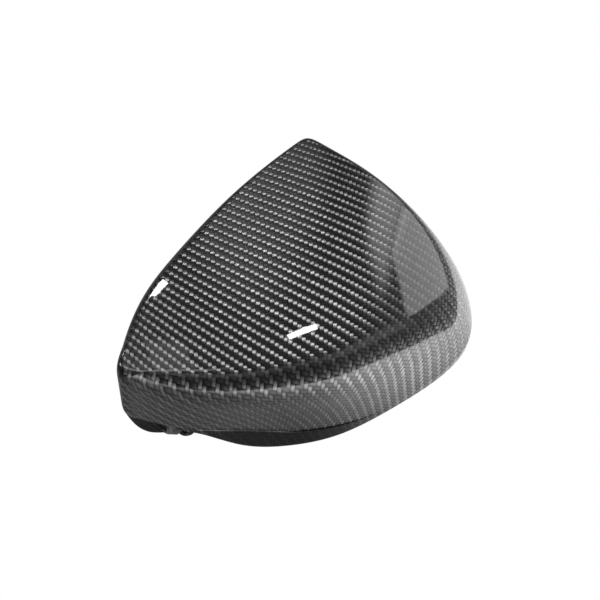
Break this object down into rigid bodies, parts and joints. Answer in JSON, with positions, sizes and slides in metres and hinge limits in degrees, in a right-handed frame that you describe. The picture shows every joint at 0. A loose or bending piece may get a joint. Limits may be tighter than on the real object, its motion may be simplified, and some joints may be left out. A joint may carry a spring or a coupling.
{
  "type": "wing mirror cover",
  "caption": "Glossy carbon fibre weave wing mirror cover shell with an open edge, a notch and a screw eye inside its rim.",
  "frame": {"origin": "centre of the outline's bounding box, on the plane of the level part of the rim", "axes": "+Z out of the outer face, +Y along the length towards the pointed tip, +X across towards the rounded side"},
  "size_m": [0.1436, 0.2312, 0.0815],
  "materials": {
    "carbon_twill": "black carbon fibre twill under a gloss clear coat"
  },
  "bodies": {
    "root": {"cover_shell": "carbon_twill"}
  },
  "joints": []
}
